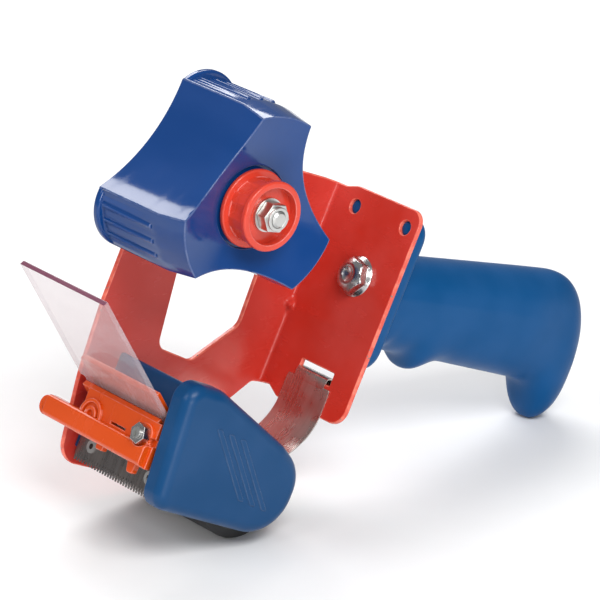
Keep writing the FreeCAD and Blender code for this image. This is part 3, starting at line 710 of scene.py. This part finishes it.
@dataclass
class FoldedFrame:
    """Pressed steel frame, cut flat with its window and holes, then folded to the rear flange."""

    thick: float = 2.0
    inner_y: float = 27.5
    flange_x: float = 77.6
    flange_low: float = -21.0
    flange_top: float = 19.0
    flange_base: float = -66.0
    fold_r: float = 2.4
    roll: float = 0.5
    journal_r: float = 5.02
    axle_r: float = 4.02
    screw_r: float = 3.86
    screws: tuple[tuple[float, float], ...] = ((15.0, -75.0), (15.0, -84.0))
    peg_r: float = 2.7
    pegs: tuple[tuple[float, float], ...] = ((-14.4, 11.5), (14.4, 11.5))
    bolt_r: float = 4.3
    bolt: tuple[float, float] = (-0.3, -12.3)
    slot_middle: tuple[float, float] = (1.25, -51.2)
    slot_half: tuple[float, float] = (9.27, 2.5)
    dimple_z: float = -32.2
    dimple_tall: float = 1.9
    dimple_wide: float = 2.6
    dimple_deep: float = 2.2
    window: tuple[Corner, ...] = (
        (16.6, -22.0, 5), (23.2, -62.6, 4.5), (40.8, -63.8, 4), (57.0, -45.6, 6), (56.0, -22.0, 5),
    )

    def unfolded(self, y: float) -> float:
        """Where a Y on the flange lies along the flat sheet."""
        return self.fold_start() + self.fold_r * math.pi / 2 + (self.fold_centre_y() - y)

    def fold_start(self) -> float:
        """Where along the flat sheet the fold begins."""
        return self.flange_x + self.thick / 2 - self.fold_r

    def fold_centre_y(self) -> float:
        """Y of the fold's centre."""
        return self.inner_y + self.thick / 2 - self.fold_r

    def outlines(self) -> list[list[tuple[float, float]]]:
        """Draws the flat sheet.

        Returns:
            Its outline, then its holes.
        """
        far = self.unfolded(self.flange_low)
        near = self.unfolded(self.inner_y - 5.0)
        step = self.unfolded(self.inner_y - 11.0)
        outer = rounded([
            (near, 17.3, 2.0), (step, self.flange_top, 8.0), (far, self.flange_top, 5.5),
            (far, self.flange_base, 6.5), (step, self.flange_base, 3.0), (near, -63.0, 1.0),
            (self.flange_x - 4.0, -64.5, 3.0), (54.5, -88.0, 12), (54.5, -111.3, 15), (-1.8, -113.0, 9),
            (-7.8, -80.0, 60), (-10.0, -52.0, 20), (-10.5, 13.0, 17), (self.flange_x - 6.0, 17.3, 6.0),
        ])
        middle_y, middle_z = self.slot_middle
        reach, tall = self.slot_half
        left, right = self.unfolded(middle_y + reach), self.unfolded(middle_y - reach)
        low, high = middle_z - tall, middle_z + tall
        holes = [
            rounded(self.window), circle(0, 0, self.journal_r),
            circle(Stance.roller_x, Stance.roller_z, self.axle_r),
            *[circle(x, z, self.screw_r) for x, z in self.screws],
            *[circle(self.unfolded(y), z, self.peg_r) for y, z in self.pegs],
            circle(self.unfolded(self.bolt[0]), self.bolt[1], self.bolt_r),
            rounded([(left, low, 0.5), (right, low, 0.5), (right, high, 0.5), (left, high, 0.5)]),
        ]
        return [outer, *holes]

    def folded(self, u: float, w: float, n: float) -> Vector:
        """Folds one point of the flat sheet.

        Args:
            u: where it is along the sheet.
            w: where it is up the sheet.
            n: where it is through the sheet.

        Returns:
            Its place in the upright drawing.
        """
        start, length = self.fold_start(), self.fold_r * math.pi / 2
        a = min(max((u - start) / length, 0.0), 1.0) * math.pi / 2
        run_in, run_out = min(u - start, 0.0), max(u - start - length, 0.0)
        x = start + run_in + (self.fold_r + n) * math.sin(a)
        y = self.fold_centre_y() - run_out + (self.fold_r + n) * math.cos(a)
        up, along = (w - self.dimple_z) / self.dimple_tall, (u - start - length / 2) / self.dimple_wide
        pinch = self.dimple_deep * math.exp(-up ** 2) * math.exp(-along ** 2)
        return Vector((x - pinch, y - pinch, w))

    def build(self, shop: Workshop) -> None:
        """Makes the frame and hangs it on the tool.

        Args:
            shop: the workshop.
        """
        grid = sheet_of(self.outlines(), self.thick, self.roll)
        start, length = self.fold_start(), self.fold_r * math.pi / 2
        cuts = [(Vector((start + length * k / 8, 0, 0)), Vector((1, 0, 0))) for k in range(-4, 13)]
        cuts += [(Vector((0, self.dimple_z + 0.8 * k, 0)), Vector((0, 1, 0))) for k in range(-6, 7)]
        for point, way in cuts:
            geom = [*grid.verts, *grid.edges, *grid.faces]
            bmesh.ops.bisect_plane(grid, geom=geom, plane_co=point, plane_no=way, dist=1e-5)
        for vert in grid.verts:
            vert.co = shop.stand @ self.folded(*vert.co)
        shop.stand_for(shop.add("folded_frame", grid, Slot.RED_PAINT), Body.TOOL, "frame")


@dataclass
class ReelAndBrake:
    """Three-lobed reel, its spindle and washers, and the fluted brake knob."""

    edge: float = 0.45
    knob_edge: float = 0.3
    wire_r: float = 0.6
    coil: Coil = Coil(0.0, 0.0, 6.6, -13.9, -7.12, 3.0)

    def make_spring(self, shop: Workshop) -> None:
        """Makes the brake's spring.

        Args:
            shop: the workshop.
        """
        grid = round_wire(self.coil.points(), self.wire_r)
        bmesh.ops.transform(grid, matrix=shop.stand, verts=grid.verts)
        spring = shop.add("brake_coil", grid, Slot.SPRING_STEEL)
        start, end = shop.place(0, self.coil.high, 0), shop.place(0, self.coil.low, 0)
        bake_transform(spring)
        shop.stand_for(spring, None, "brake_spring")

    def build(self, shop: Workshop) -> None:
        """Makes the reel, the knob and the brake's spring.

        Args:
            shop: the workshop.
        """
        reel = shop.eased("reel", "lobed_reel", Slot.REEL_PLASTIC, self.edge, 3)
        shop.stand_for(reel, Body.REEL, "reel")
        knob = shop.eased("knob", "brake_knob", Slot.KNOB_PLASTIC, self.knob_edge)
        shop.stand_for(knob, Body.BRAKE_KNOB, "knob")
        nut = shop.eased("lock_nut", "knob_nut", Slot.ZINC_STEEL, 0.3)
        shop.stand_for(nut, Body.BRAKE_KNOB, "lock_nut")
        for node in ("spindle", "pressure_washer", "thrust_washer", "knob_washer"):
            shop.wear(node, Slot.ZINC_STEEL)
        shop.wear("friction_washer", Slot.FIBRE)
        self.make_spring(shop)


@dataclass
class CutterHead:
    """Moulded cheek and bridge, the toothed blade and its rivets, and the roller under them."""

    edge: float = 0.45

    def build(self, shop: Workshop) -> None:
        """Makes the cover and dresses the blade and the roller.

        Args:
            shop: the workshop.
        """
        cover = shop.eased("cover", "cheek_and_bridge", Slot.COVER_PLASTIC, self.edge, 3)
        shop.stand_for(cover, Body.TOOL, "cover")
        shop.wear("blade", Slot.BLADE_STEEL)
        shop.wear("roller_sleeve", Slot.RUBBER)
        for node in ("roller_core", "roller_spacers"):
            shop.wear(node, Slot.ROLLER_PLASTIC)
        for node in ("blade_rivets", "roller_axle", "cover_screws"):
            shop.wear(node, Slot.ZINC_STEEL)


@dataclass
class TapeGuide:
    """Orange tape guide with its clear flap, set screw and torsion spring."""

    edge: float = 0.3
    slope: float = 34.8
    wire_r: float = 0.32
    hinge_x: float = -2.2
    hinge_z: float = -91.0
    coil_r: float = 2.3
    coil_half: float = 5.65
    leg_back: float = 6.4
    leg_front: float = -6.85

    def make_spring(self, shop: Workshop) -> None:
        """Makes the torsion spring.

        Args:
            shop: the workshop.
        """
        coil = Coil(self.hinge_x, self.hinge_z, self.coil_r, -self.coil_half, self.coil_half, 9.5)
        back = [Vector((x, -self.coil_half, self.hinge_z)) for x in (self.leg_back, 3.0, 1.0)]
        front = [Vector((x, self.coil_half, self.hinge_z)) for x in (-5.4, -6.0, self.leg_front)]
        grid = round_wire([*back, *coil.points()[2:-2], *front], self.wire_r)
        bmesh.ops.transform(grid, matrix=shop.stand, verts=grid.verts)
        spring = shop.add("guide_coil", grid, Slot.SPRING_STEEL)
        start, end = (shop.place(self.hinge_x, y, self.hinge_z) for y in (-5.0, 5.0))
        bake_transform(spring)
        shop.stand_for(spring, None, "guide_spring")

    def build(self, shop: Workshop) -> None:
        """Makes the guide, the flap and the spring.

        Args:
            shop: the workshop.
        """
        guide = shop.eased("guide", "orange_guide", Slot.GUIDE_PLASTIC, self.edge)
        shop.stand_for(guide, Body.TAPE_GUIDE, "guide")
        flap = shop.eased("flap", "clear_flap", Slot.CLEAR_PLASTIC, 0.2)
        self.mark_rim(shop, flap)
        shop.stand_for(flap, Body.TAPE_GUIDE, "flap")
        nut = shop.eased("stop_nut", "set_screw_nut", Slot.CHROME, 0.25)
        shop.stand_for(nut, Body.TAPE_GUIDE, "stop_nut")
        shop.wear("stop_screw", Slot.ZINC_STEEL)
        shop.wear("guide_pivot", Slot.ZINC_STEEL)
        self.make_spring(shop)

    def mark_rim(self, shop: Workshop, flap: bpy.types.Object) -> None:
        """Marks the flap's sawn edges for painted shade, the top one most.

        Args:
            shop: the workshop, which knows where the tool stands.
            flap: the flap.
        """
        a = math.radians(self.slope)
        turn = shop.stand.to_3x3().normalized()
        across = turn @ Vector((math.sin(a), 0, math.cos(a)))
        along = turn @ Vector((math.cos(a), 0, -math.sin(a)))
        rim = flap.data.attributes.new("rim", "FLOAT", "CORNER")
        for face in flap.data.polygons:
            if abs(face.normal.dot(across)) < 0.8:
                # painted shade: full on the top edge, less on the others
                share = 1.0 if face.normal.dot(along) < -0.3 else 0.3
                for loop in face.loop_indices:
                    rim.data[loop].value = share


@dataclass
class LeafSpring:
    """Spring steel leaf behind the roller, hooked through the flange's slot."""

    width: float = 24.4
    thick: float = 0.5
    centre_y: float = 2.45
    face_x: float = 77.35
    bend_from: float = -60.0
    bend_to: float = -72.0
    roll: float = 0.12
    tongue: float = 0.7
    hook_x: float = 81.4

    def run(self) -> list[tuple[float, float]]:
        """Draws the leaf's line.

        Returns:
            Its (x, z) points, from its top edge to the roller.
        """
        face = self.face_x
        return [(face, -55.2), (face, -60.6), (face, -66.0), (face - 0.5, -69.4), (face - 1.9, -73.4),
                (face - 4.4, -77.7), (face - 8.0, -82.0), (64.0, -86.0), (57.62, -91.58)]

    def hook(self) -> list[tuple[float, float]]:
        """Draws the tongue's line.

        Returns:
            Its (x, z) points, through the slot and down behind the flange.
        """
        face, back = self.face_x, self.hook_x
        return [(face, -56.0), (face, -53.0), (face + 0.7, -51.7), (back - 0.8, -51.3),
                (back, -52.0), (back, -58.0)]

    def strip(self, line: Sequence[tuple[float, float]], width: float, shop: Workshop) -> bmesh.types.BMesh:
        """A thin strip along a line, with rolled edges and rounded end corners.

        Args:
            line: its (x, z) points.
            width: its width along Y.
            shop: the workshop, which knows where it stands.

        Returns:
            The strip's mesh, in place.
        """
        points = smooth_line(line, 6)
        across = 12
        grid = bmesh.new()
        rows = []
        for i, (x, z) in enumerate(points):
            left = min(i, len(points) - 1 - i)
            narrow = 1.0 - 0.045 * max(0.0, 1.0 - left / 3.0) ** 2
            steps = [-1.0 + 2.0 * k / across for k in range(across + 1)]
            rows.append([grid.verts.new((x, self.centre_y + s * width / 2 * narrow, z)) for s in steps])
        for first, second in zip(rows, rows[1:]):
            for k in range(across):
                grid.faces.new((first[k], first[k + 1], second[k + 1], second[k]))
        mesh = bpy.data.meshes.new("strip")
        grid.to_mesh(mesh)
        grid.free()
        holder = bpy.data.objects.new("strip", mesh)
        bpy.context.scene.collection.objects.link(holder)
        solid = holder.modifiers.new("thick", "SOLIDIFY")
        solid.thickness, solid.offset = self.thick, 0.0
        roll = holder.modifiers.new("roll", "BEVEL")
        roll.width, roll.segments, roll.limit_method = self.roll, 2, "ANGLE"
        roll.angle_limit = math.radians(50)
        done = baked(holder)
        bmesh.ops.transform(done, matrix=shop.stand, verts=done.verts)
        return done

    def build(self, shop: Workshop) -> None:
        """Makes the leaf.

        Args:
            shop: the workshop.
        """
        leaf = self.strip(self.run(), self.width, shop)
        tongue = self.strip(self.hook(), self.width * self.tongue, shop)
        mesh = bpy.data.meshes.new("tongue")
        tongue.to_mesh(mesh)
        tongue.free()
        leaf.from_mesh(mesh)
        bpy.data.meshes.remove(mesh)
        obj = shop.add("bent_leaf", leaf, Slot.SPRING_STEEL)
        start = shop.place(self.face_x, self.centre_y, self.bend_from)
        end = shop.place(self.face_x, self.centre_y, self.bend_to)
        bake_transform(obj)
        shop.stand_for(obj, None, "leaf_spring")


def smooth_line(line: Sequence[tuple[float, float]], parts: int) -> list[tuple[float, float]]:
    """Draws a smooth curve through a line's points.

    Args:
        line: the points.
        parts: how many parts lie between each two of them.

    Returns:
        Points along the curve.
    """
    points = [Vector(p) for p in line]
    out: list[tuple[float, float]] = []
    for i in range(len(points) - 1):
        a, b = points[max(i - 1, 0)], points[i]
        c, d = points[i + 1], points[min(i + 2, len(points) - 1)]
        for k in range(parts):
            t = k / parts
            bend = (2 * a - 5 * b + 4 * c - d) * t ** 2 + (3 * b - a - 3 * c + d) * t ** 3
            p = 0.5 * (2 * b + (c - a) * t + bend)
            out.append((p.x, p.y))
    out.append(tuple(points[-1]))
    return out


@dataclass
class Grip:
    """Moulded grip on its base plate, and the bolt that holds it."""

    voxel: float = 0.8
    passes: int = 6

    def build(self, shop: Workshop) -> None:
        """Makes the grip with its plate blended in, and dresses the bolt.

        Args:
            shop: the workshop.
        """
        grid = bmesh.new()
        grid.from_mesh(shop.nodes["handle"].data)
        bmesh.ops.remove_doubles(grid, verts=grid.verts, dist=WELD)
        mesh = bpy.data.meshes.new("grip")
        grid.to_mesh(mesh)
        grid.free()
        holder = bpy.data.objects.new("grip", mesh)
        bpy.context.scene.collection.objects.link(holder)
        melt = holder.modifiers.new("melt", "REMESH")
        melt.mode, melt.voxel_size = "VOXEL", self.voxel * MM
        soften = holder.modifiers.new("soften", "SMOOTH")
        soften.factor, soften.iterations = 0.5, self.passes
        grip = shop.add("moulded_grip", baked(holder), Slot.HANDLE_PLASTIC, 60.0)
        shop.stand_for(grip, Body.TOOL, "handle")
        bolt = shop.eased("handle_bolt", "dished_bolt", Slot.CHROME, 0.3)
        shop.stand_for(bolt, Body.TOOL, "handle_bolt")
        shop.wear("handle_nut", Slot.ZINC_STEEL)


# ---------------------------------------------------------------- studio


def seen_from(azimuth: float, elevation: float) -> Vector:
    """Direction from the aim towards a viewer at two angles in degrees; azimuth 0 looks along +Y."""
    a, e = math.radians(azimuth), math.radians(elevation)
    return Vector((math.sin(a) * math.cos(e), -math.cos(a) * math.cos(e), math.sin(e)))


@dataclass(frozen=True)
class SoftBox:
    """One soft rectangular light."""

    name: str
    azimuth: float
    elevation: float
    distance: float
    size: tuple[float, float]
    power: float

    def hang(self, aim: Vector) -> None:
        """Hangs the light round a point, facing it.

        Args:
            aim: the point.
        """
        back = seen_from(self.azimuth, self.elevation)
        lamp = bpy.data.lights.new(self.name, "AREA")
        lamp.shape = "RECTANGLE"
        lamp.size, lamp.size_y = self.size
        lamp.energy = self.power
        obj = bpy.data.objects.new(self.name, lamp)
        obj.location = aim + back * self.distance
        obj.rotation_mode = "QUATERNION"
        obj.rotation_quaternion = (-back).to_track_quat("-Z", "Y")
        bpy.context.scene.collection.objects.link(obj)


@dataclass
class Studio:
    """Camera, pale floor and soft light."""

    azimuth: float = -39.728
    elevation: float = 20.669
    roll: float = 2.149
    distance: float = 1.3696
    aim: Vector = field(default_factory=lambda: Vector((-0.0404, -0.0284, 0.0890)))
    lens: float = 229.69
    sky: float = 0.26
    boxes: tuple[SoftBox, ...] = (
        SoftBox("key", -16.0, 46.0, 1.2, (0.7, 0.5), 11.0),
        SoftBox("front", -28.0, 8.0, 1.5, (0.8, 0.3), 6.0),
        SoftBox("fill", -95.0, 38.0, 1.3, (0.8, 0.6), 5.0),
        SoftBox("back", 150.0, 41.0, 1.2, (0.90, 0.46), 9.0),
    )

    def build(self) -> None:
        """Sets up the whole studio."""
        self.set_camera()
        self.set_sky()
        self.lay_floor()
        for box in self.boxes:
            box.hang(self.aim)
        bpy.context.scene.view_settings.view_transform = "Standard"

    def set_camera(self) -> None:
        """Puts the camera at the viewing angle."""
        back = seen_from(self.azimuth, self.elevation)
        data = bpy.data.cameras.new("camera")
        data.lens, data.sensor_width = self.lens, 36.0
        data.clip_start, data.clip_end = 0.05, 50.0
        camera = bpy.data.objects.new("camera", data)
        camera.location = self.aim + back * self.distance
        camera.rotation_mode = "QUATERNION"
        look = (-back).to_track_quat("-Z", "Y")
        camera.rotation_quaternion = look @ Matrix.Rotation(math.radians(self.roll), 3, "Z").to_quaternion()
        bpy.context.scene.collection.objects.link(camera)
        bpy.context.scene.camera = camera

    def set_sky(self) -> None:
        """Even pale light from all round."""
        world = bpy.data.worlds.new("studio")
        world.use_nodes = True
        background = world.node_tree.nodes["Background"]
        background.inputs["Color"].default_value = (0.97, 0.98, 1.0, 1.0)
        background.inputs["Strength"].default_value = self.sky
        bpy.context.scene.world = world

    def lay_floor(self) -> None:
        """A plain pale floor."""
        grid = bmesh.new()
        bmesh.ops.create_grid(grid, x_segments=2, y_segments=2, size=12.0)
        mesh = bpy.data.meshes.new("floor")
        grid.to_mesh(mesh)
        grid.free()
        floor = bpy.data.objects.new("floor", mesh)
        bpy.context.scene.collection.objects.link(floor)
        graph = Graph("floor_paper")
        tone = graph.tint(graph.noise(0.02, 3.0), (0.90, 0.90, 0.90), (0.93, 0.93, 0.93))
        paper = {"Base Color": tone, "Roughness": 0.75}
        mesh.materials.append(graph.finish(graph.node("ShaderNodeBsdfPrincipled", inputs=paper)))


def corners(box: tuple[Vector, Vector]) -> list[list[float]]:
    """A box's corners as plain numbers."""
    return [list(corner) for corner in box]


def main() -> None:
    """Builds the studio and every piece, and notes how many pieces were made."""
    logging.basicConfig(level=logging.INFO, format="%(name)s: %(message)s")
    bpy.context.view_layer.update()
    Studio().build()
    shop = Workshop()
    for part in (FoldedFrame(), ReelAndBrake(), CutterHead(), TapeGuide(), LeafSpring(), Grip()):
        part.build(shop)
    log.info("%d pieces made", len(shop.made))


if __name__ == "__main__":
    main()
